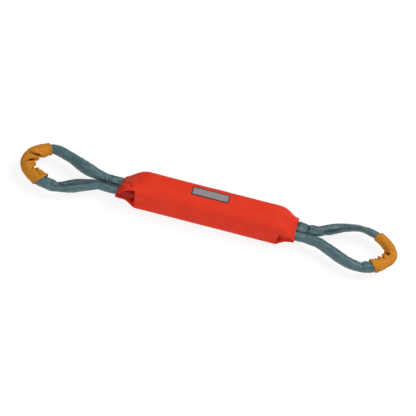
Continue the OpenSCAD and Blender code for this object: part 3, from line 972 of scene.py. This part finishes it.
def grip_place(loop):
    """The grip's surface, where it starts and ends along the route, and its folds"""
    route = Route(loop)
    start, end = (mix(route.length_at(int(u)), route.length_at(int(u) + 1), u % 1)
                  for u in loop["grip"])
    length = end - start
    leans, gapes = 14.0, 7.0             # how far in from its edge a hem leans and gapes

    def grow(s):
        """The sleeve over the tube: rounded at its edge, doubled in the hem and drawn in
        along the hem's stitches"""
        edge = min(s - start, end - s)
        closing = 1 - math.exp(-max(edge, 0) / 0.25)
        doubled = 0.4 * (1 - smooth((edge - 4) / 1.2))
        groove = 0.5 * hump(edge - HEM, 0.5)
        return 0.1 + closing * (1.5 + doubled - groove)

    def relief(s, turn):
        edge = min(s - start, end - s)
        uneven = 0.35 * lumps((s, 10 * math.cos(turn), 10 * math.sin(turn)), 9.0, 5.0)
        folded = crease_relief(route, loop["folds"], s - start, route.from_inside(turn), length)
        return (uneven + folded) * smooth((edge - 3.2) / 5)

    def place(a, s):
        angle = route.from_inside(turn_at(a))
        shift = gape = 0.0
        for (further, side, wide), edge in zip(loop["lean"], (s - start, end - s)):
            if edge < 3 * leans + 3:
                turned = math.cos(math.radians(angle - side))
                shift += further * turned * math.exp(-edge / leans)
                gape += wide * max(turned, 0) ** 2 * math.exp(-edge / gapes)
        tube = tube_place(route, lambda _: grow(s) + gape, lambda _, turn: relief(s, turn))
        return tube(a, s + shift)
    return place, route, start, end, relief


def make_grip(name, loop, material):
    """The gathered sleeve, which settles where no fold or hem holds it"""
    place, _, start, end, folds = grip_place(loop)

    def depth(a, s):
        return -folds(s, turn_at(a))

    def held(a, s):
        near = 1 - smooth((min(s - start, end - s) - 6) / 6)
        return max(near, smooth(depth(a, s) - 0.8))
    hem = [0, 0.1, 0.5, 1.1, 1.7, 2.3, HEM, 3.3, 3.9, 4.6, 5.4]
    inner, spacing = 6.4, 0.75
    middle = steps(start + inner, end - inner, round((end - start - 2 * inner) / spacing))
    along = [start + h for h in hem] + middle + [end - h for h in reversed(hem)]
    # painted shade deep in the gathered folds, through the shade attribute
    piece = cloth(name + "_sewn_grip", steps(0, GIRTH, 72), along, place, closed=True,
                  held=held, shade=lambda a, s: smooth((depth(a, s) - 1.3) / 3.2))
    settle(piece, limit=0.8)
    apply_modifier(piece, "SUBSURF", levels=1, render_levels=1)
    finish_piece(piece, material, name + "_grip")
    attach(piece, name + "_loop")


def make_bar_tack(name, loop, material):
    """Thread wound round both tubes of a neck, which pulls them in and holds them together"""
    route = Route(loop)
    thread, wrap = 0.35, 0.65            # how high one wrap stands, and its width
    first = next(s for s in steps(0, route.length, 400) if abs(route.at(s)[0].x) > TACK_X)
    centre, _, _, reach, half_height = route.at(first)
    half_width = centre.y + reach - loop["pinch"] + 0.5
    half_height += 0.3 - loop["pinch"]

    def place(a, s):
        edge = min(s, TACK_LENGTH - s)
        wraps = thread * abs(math.sin(math.pi * s / wrap)) - 0.5 * hump(edge, 0.25)
        across, up = math.cos(a), math.sin(a)
        y = math.copysign(abs(across) ** 0.7, across) * (half_width + wraps)
        waist = 1.2 * hump(y, 4.5)       # drawn in between the two tubes
        z = math.copysign(abs(up) ** 0.7, up) * (half_height + wraps - waist)
        return (route.side * (TACK_X - TACK_LENGTH / 2 + s), y, FOLD_Z + z)
    piece = cloth(name + "_neck_tack", steps(0, 2 * math.pi, 72), steps(0, TACK_LENGTH, 16),
                  place, closed=True)
    apply_modifier(piece, "SOLIDIFY", thickness=0.5 * MM, offset=-1)
    finish_piece(piece, material, name + "_bar_tack")
    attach(piece, name + "_loop")


# ---- stitching
def thread_row(surface, length, look, finer=1.0):
    """A row of lockstitch: a thread that shows for each stitch and dips between two.

    surface(t) gives the point, the way along and the normal t millimetres along the row"""
    pitch, radius = look.stitch_pitch / MM * finer, look.thread_radius / MM * finer
    dipped, raised = -1.1, 0.2           # how high the thread lies between stitches and on one
    rising = 0.2                         # the share of a stitch in which the thread comes up
    count = max(round(length / pitch), 1)

    def place(a, t):
        point, along, normal = surface(min(max(t, 0), length))
        phase = t * count / length % 1
        lift = mix(dipped, raised, smooth(min(phase, 1 - phase) / rising))
        turn = 2 * math.pi * a
        return (point + normal * (lift + radius * math.sin(turn))
                + normal.cross(along) * radius * math.cos(turn))
    return cloth("thread", steps(0, 1, 6), steps(0, length, count * 8), place, closed=True,
                 capped=True)


def finish_stitching(name, rows, material, body, replaced):
    """Joins rows of stitches into one piece"""
    nothing_selected()
    for row in rows:
        row.select_set(True)
    bpy.context.view_layer.objects.active = rows[0]
    bpy.ops.object.join()
    piece = bpy.context.object
    piece.name = name
    piece.data.name = name
    finish_piece(piece, material, replaced)
    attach(piece, body)


def sew_cover(material, look):
    """Two rows along the lapped seam, and one on the upper and the lower lip of each mouth"""
    seam_gap, corner_gap = 4.0, 5.0      # from a row's end to the foam's end, or to the corner
    edge_gap = 3.2                       # from a mouth's edge to its rows

    def seam(arc):
        def surface(t):
            x = t - FOAM_HALF + seam_gap
            point, _, along, normal = facing(cover_place, arc, x, (x, 0, BODY_HALF))
            return point, along, normal
        return surface
    rows = [thread_row(seam(arc), 2 * (FOAM_HALF - seam_gap), look)
            for arc in (-SEAM_HALF, SEAM_HALF)]
    finish_stitching("seam_stitches", rows, material, "bumper",
                     "cover_seam_stitching")
    for name, side in (("left", -1), ("right", 1)):
        rows = []
        for panel in (TOP, BOTTOM):
            def surface(t):
                x = side * (MOUTH_X - edge_gap)
                arc = (panel - 0.5) * PANEL + corner_gap + t
                point, across, _, normal = facing(cover_place, arc, x, (x, 0, FOLD_Z))
                return point, across, normal
            rows.append(thread_row(surface, PANEL - 2 * corner_gap, look))
        finish_stitching(name + "_mouth_stitches", rows, material, "bumper",
                         name + "_mouth_stitching")


def sew_grip(name, loop, material, look):
    """A row of stitches round each of a grip's two hems"""
    place, route, start, end, _ = grip_place(loop)
    round_grip = 60                      # length of one row, a little outside the webbing
    rows = []
    for s in (start + HEM, end - HEM):
        def surface(t):
            a = t * GIRTH / round_grip
            point, across, _, normal = facing(place, a, s, route.at(s)[0])
            return point, across, normal
        rows.append(thread_row(surface, round_grip, look))
    finish_stitching(name + "_grip_stitches", rows, material,
                     name + "_loop", name + "_grip_stitching")


# ---- label
def cover_top(cover, x, y):
    """Height of the finished cover under a point, in millimetres"""
    found, place, _, _ = cover.ray_cast(Vector((x, y, 80)) * MM, Vector((0, 0, -1)))
    if not found:
        raise RuntimeError("the label lies off the cover")
    return place.z / MM + 0.05


def make_label(cover, material, thread, look):
    """The bare label, laid on the finished cover, and the stitches along its four edges"""
    low, high = LABEL_LOW / MM, LABEL_HIGH / MM
    length, width = high.x - low.x, high.y - low.y

    def place(a, s):
        x, y = low.x + s, low.y + a
        return (x, y, cover_top(cover, x, y))
    piece = cloth("bare_woven_label", steps(0, width, 16), steps(0, length, 60), place)
    apply_modifier(piece, "SOLIDIFY", thickness=look.label_thickness, offset=1)
    finish_piece(piece, material, "label")
    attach(piece, "bumper")

    left, right = low.x + LABEL_EDGE, high.x - LABEL_EDGE
    front, rear = low.y + LABEL_EDGE, high.y - LABEL_EDGE
    corners = [(left, front), (right, front), (right, rear), (left, rear)]
    rows = []
    for a, b in zip(corners, corners[1:] + corners[:1]):
        run = Vector(b) - Vector(a)
        way = run.normalized()

        def surface(t):
            x, y = Vector(a) + way * t
            point = Vector((x, y, cover_top(cover, x, y) + look.label_thickness / MM))
            return point, Vector((way.x, way.y, 0)), Vector((0, 0, 1))
        rows.append(thread_row(surface, run.length, look, finer=0.8))
    finish_stitching("label_stitches", rows, thread, "bumper",
                     "label_stitching")


# ---- stage
def matt_white_floor():
    # Matt white paint. It is seen mostly by a glow of its own, which leaves only a faint
    # shadow on it, while the bumper gets the light that white paint throws back
    material, tree = new_material("matt_white_floor")
    path = add_node(tree, "ShaderNodeLightPath")
    seen = path.outputs["Is Camera Ray"]
    for other in ("Is Glossy Ray", "Is Transmission Ray"):
        seen = add_node(tree, "ShaderNodeMath", {0: seen, 1: path.outputs[other]},
                        operation="MAXIMUM")
    strength = add_node(tree, "ShaderNodeMapRange",
                        {0: seen, "To Min": 0.12, "To Max": 0.86})
    paint = add_node(tree, "ShaderNodeMix", {0: seen, 6: linear("#e8e8e8"),
                                             7: linear("#767676")}, data_type="RGBA")
    matt = add_node(tree, "ShaderNodeBsdfDiffuse", {"Color": paint.outputs[2]})
    glow = add_node(tree, "ShaderNodeEmission", {"Strength": strength})
    both = add_node(tree, "ShaderNodeAddShader", {0: matt, 1: glow})
    add_node(tree, "ShaderNodeOutputMaterial", {"Surface": both})
    return material


def make_floor():
    nothing_selected()
    bpy.ops.mesh.primitive_plane_add(size=12)
    floor = bpy.context.object
    floor.name = "floor"
    floor.data.materials.append(matt_white_floor())


def make_studio(stage):
    """A white room that is seen bright but lights the bumper little, and two softboxes"""
    world = bpy.data.worlds.new("studio")
    bpy.context.scene.world = world
    world.use_nodes = True
    tree = world.node_tree
    tree.nodes.clear()
    path = add_node(tree, "ShaderNodeLightPath")
    strength = add_node(tree, "ShaderNodeMapRange",
                        {"Value": path.outputs["Is Camera Ray"], "To Min": 0.2, "To Max": 1.0})
    sky = add_node(tree, "ShaderNodeBackground", {"Color": (1, 1, 1, 1),
                                                  "Strength": strength})
    add_node(tree, "ShaderNodeOutputWorld", {"Surface": sky})

    # each softbox points at the bumper: where it hangs, how wide it is, and its power
    bumper = Vector((0, 0, 0.02))
    for name, place, size, power in (
            ("key", (1.5, 0.7, 2.6), 1.8, stage.key_power),
            ("fill", (-0.3, -1.2, 0.8), 0.7, stage.fill_power)):
        nothing_selected()
        bpy.ops.object.light_add(type="AREA", location=place)
        lamp = bpy.context.object
        lamp.name = name + "_softbox"
        lamp.data.size = size
        lamp.data.energy = power
        lamp.rotation_euler = (Vector(place) - bumper).to_track_quat("Z", "Y").to_euler()


def make_camera(stage):
    """A long lens from the front and above, turned so that the right end hangs lower"""
    bpy.context.scene.view_settings.view_transform = "Standard"
    azimuth, elevation, roll = stage.azimuth, stage.elevation, stage.roll
    sensor = 36.0                        # width of the sensor, in millimetres
    lean = math.radians(14.4)            # how far the bumper leans in the view
    below = 0.002                        # the view's middle, below the bumper's middle
    back = Vector((math.sin(azimuth) * math.cos(elevation),
                   -math.cos(azimuth) * math.cos(elevation), math.sin(elevation)))
    level = Vector((math.cos(azimuth), math.sin(azimuth), 0))
    rise = back.cross(level)
    right = level * math.cos(roll) + rise * math.sin(roll)
    up = rise * math.cos(roll) - level * math.sin(roll)
    down = -right * math.sin(lean) - up * math.cos(lean)
    target = Vector((0, 0, BODY_HALF * MM)) + down * below
    nothing_selected()
    bpy.ops.object.camera_add()
    camera = bpy.context.object
    camera.data.lens = stage.lens
    camera.data.sensor_width = sensor
    camera.matrix_world = Matrix.Translation(
        target + back * stage.seen_width * stage.lens / sensor) @ Matrix(
            (right, up, back)).transposed().to_4x4()
    bpy.context.scene.camera = camera


# ---- settings, one operator for each kind of piece, and their panel
def colour_setting(name, description, hex_colour):
    return bpy.props.FloatVectorProperty(
        name=name, description=description, default=linear(hex_colour), size=4, min=0.0,
        max=1.0, subtype="COLOR")


def length_setting(name, description, default, low, high):
    return bpy.props.FloatProperty(
        name=name, description=description, default=default, min=low, max=high, precision=5,
        subtype="DISTANCE", unit="LENGTH")


def angle_setting(name, description, degrees):
    return bpy.props.FloatProperty(
        name=name, description=description, default=math.radians(degrees), subtype="ANGLE",
        unit="ROTATION")


def power_setting(name, description, watts):
    return bpy.props.FloatProperty(
        name=name, description=description, default=watts, min=0.0, unit="POWER")


class BumperLook(bpy.types.PropertyGroup):
    """Colours and sizes of the sewn pieces"""
    cover_colour: colour_setting(
        "Cover", "Colour of the threads of the cover's fabric", "#f0401f")
    webbing_colour: colour_setting(
        "Webbing", "Colour of the webbing's ribs", "#5b8187")
    grip_colour: colour_setting(
        "Grips", "Colour of the threads of the grips' fabric", "#e6982d")
    label_colour: colour_setting(
        "Label", "Colour of the label's satin", "#98969a")
    fabric: length_setting(
        "Cover fabric", "Thickness of the coated cover fabric", 0.001, 0.0005, 0.002)
    crown: length_setting(
        "Crown", "How far each face of the stuffed block bulges", 0.0007, 0.0, 0.002)
    stitch_pitch: length_setting(
        "Stitch pitch", "Distance from one stitch to the next", 0.0036, 0.002, 0.006)
    thread_radius: length_setting(
        "Thread radius", "Radius of the sewing thread", 0.00033, 0.0002, 0.0006)
    label_thickness: length_setting(
        "Label thickness", "Thickness of the woven label", 0.0007, 0.0003, 0.0012)


class BumperStage(bpy.types.PropertyGroup):
    """Where the camera stands, and how strong the lamps are"""
    azimuth: angle_setting("Azimuth", "How far round the camera stands from the front", 8.0)
    elevation: angle_setting("Elevation", "How far above level the camera looks from", 50.0)
    roll: angle_setting(
        "Roll", "Turn of the camera that makes the right end hang lower", 8.26)
    seen_width: length_setting("Seen width", "Width of the view at the bumper", 0.656, 0.1, 5.0)
    lens: bpy.props.FloatProperty(
        name="Lens", description="Focal length in millimetres", default=300.0, min=20.0,
        unit="CAMERA")
    key_power: power_setting("Key light", "Power of the softbox above the right end", 72.0)
    fill_power: power_setting("Fill light", "Power of the softbox in front", 7.4)


class BUMPER_OT_stage(bpy.types.Operator):
    """Sets up the camera, the pale floor and the soft studio light"""
    bl_idname = "bumper.stage"
    bl_label = "Stage"

    def execute(self, context):
        make_camera(context.scene.bumper_stage)
        make_floor()
        make_studio(context.scene.bumper_stage)
        return {"FINISHED"}


class BUMPER_OT_foam(bpy.types.Operator):
    """Cuts the two foam slabs that are glued round the webbing"""
    bl_idname = "bumper.foam"
    bl_label = "Foam"

    def execute(self, context):
        foam = closed_cell_foam()
        make_foam("upper", foam)
        make_foam("lower", foam)
        return {"FINISHED"}


class BUMPER_OT_cover(bpy.types.Operator):
    """Sews the red cover, folded down to a flat mouth at each end"""
    bl_idname = "bumper.cover"
    bl_label = "Cover"

    def execute(self, context):
        look = context.scene.bumper_look
        make_cover(coated_oxford(look), look)
        return {"FINISHED"}


class BUMPER_OT_straps(bpy.types.Operator):
    """Lays the flat webbing that runs through the foam"""
    bl_idname = "bumper.straps"
    bl_label = "Straps"

    def execute(self, context):
        webbing = tubular_webbing(context.scene.bumper_look)
        make_strap("front", -1, webbing)
        make_strap("rear", 1, webbing)
        return {"FINISHED"}


class BUMPER_OT_loops(bpy.types.Operator):
    """Makes both stuffed webbing loops with their soft cores"""
    bl_idname = "bumper.loops"
    bl_label = "Loops"

    def execute(self, context):
        webbing = tubular_webbing(context.scene.bumper_look)
        filler = filler_fibre()
        for name, loop in LOOPS.items():
            make_webbing(name, loop, webbing)
            make_filler(name, loop, filler)
        return {"FINISHED"}


class BUMPER_OT_grips(bpy.types.Operator):
    """Wraps a gathered amber sleeve round the tip of each loop"""
    bl_idname = "bumper.grips"
    bl_label = "Grips"

    def execute(self, context):
        fabric = textured_nylon(context.scene.bumper_look)
        for name, loop in LOOPS.items():
            make_grip(name, loop, fabric)
        return {"FINISHED"}


class BUMPER_OT_bar_tacks(bpy.types.Operator):
    """Winds thread round the two tubes at each neck"""
    bl_idname = "bumper.bar_tacks"
    bl_label = "Bar tacks"

    def execute(self, context):
        thread = sewing_thread("grey_bonded_thread", "#3b4f54")
        for name, loop in LOOPS.items():
            make_bar_tack(name, loop, thread)
        return {"FINISHED"}


class BUMPER_OT_label(bpy.types.Operator):
    """Lays the bare woven label on the cover's top and sews it down"""
    bl_idname = "bumper.label"
    bl_label = "Label"

    def execute(self, context):
        look = context.scene.bumper_look
        make_label(bpy.data.objects["sewn_cover"], damask_label(look),
                   sewing_thread("dark_grey_thread", "#4a4643"), look)
        return {"FINISHED"}


class BUMPER_OT_stitching(bpy.types.Operator):
    """Sews the cover's seam, its mouths and the hems of the grips"""
    bl_idname = "bumper.stitching"
    bl_label = "Stitching"

    def execute(self, context):
        look = context.scene.bumper_look
        sew_cover(sewing_thread("red_bonded_thread", "#b5301c"), look)
        amber_thread = sewing_thread("amber_bonded_thread", "#9a6218")
        for name, loop in LOOPS.items():
            sew_grip(name, loop, amber_thread, look)
        return {"FINISHED"}


class BUMPER_PT_panel(bpy.types.Panel):
    bl_idname = "BUMPER_PT_panel"
    bl_label = "Training bumper"
    bl_space_type = "VIEW_3D"
    bl_region_type = "UI"
    bl_category = "Bumper"

    def draw(self, context):
        column = self.layout.column()
        for settings in (context.scene.bumper_look, context.scene.bumper_stage):
            for name in settings.__annotations__:
                column.prop(settings, name)
        for operator in OPERATORS:
            column.operator(operator.bl_idname)


SETTINGS = (BumperLook, BumperStage)
OPERATORS = (BUMPER_OT_stage, BUMPER_OT_foam, BUMPER_OT_cover, BUMPER_OT_straps,
             BUMPER_OT_loops, BUMPER_OT_grips, BUMPER_OT_bar_tacks, BUMPER_OT_label,
             BUMPER_OT_stitching)


def register():
    for kind in (*SETTINGS, *OPERATORS, BUMPER_PT_panel):
        bpy.utils.register_class(kind)
    bpy.types.Scene.bumper_look = bpy.props.PointerProperty(type=BumperLook)
    bpy.types.Scene.bumper_stage = bpy.props.PointerProperty(type=BumperStage)


def unregister():
    del bpy.types.Scene.bumper_stage
    del bpy.types.Scene.bumper_look
    for kind in (BUMPER_PT_panel, *reversed(OPERATORS), *reversed(SETTINGS)):
        bpy.utils.unregister_class(kind)


def main():
    register()
    bpy.ops.bumper.stage()
    bpy.ops.bumper.foam()
    bpy.ops.bumper.cover()
    bpy.ops.bumper.straps()
    bpy.ops.bumper.loops()
    bpy.ops.bumper.grips()
    bpy.ops.bumper.bar_tacks()
    bpy.ops.bumper.label()
    bpy.ops.bumper.stitching()


if __name__ == "__main__":
    main()
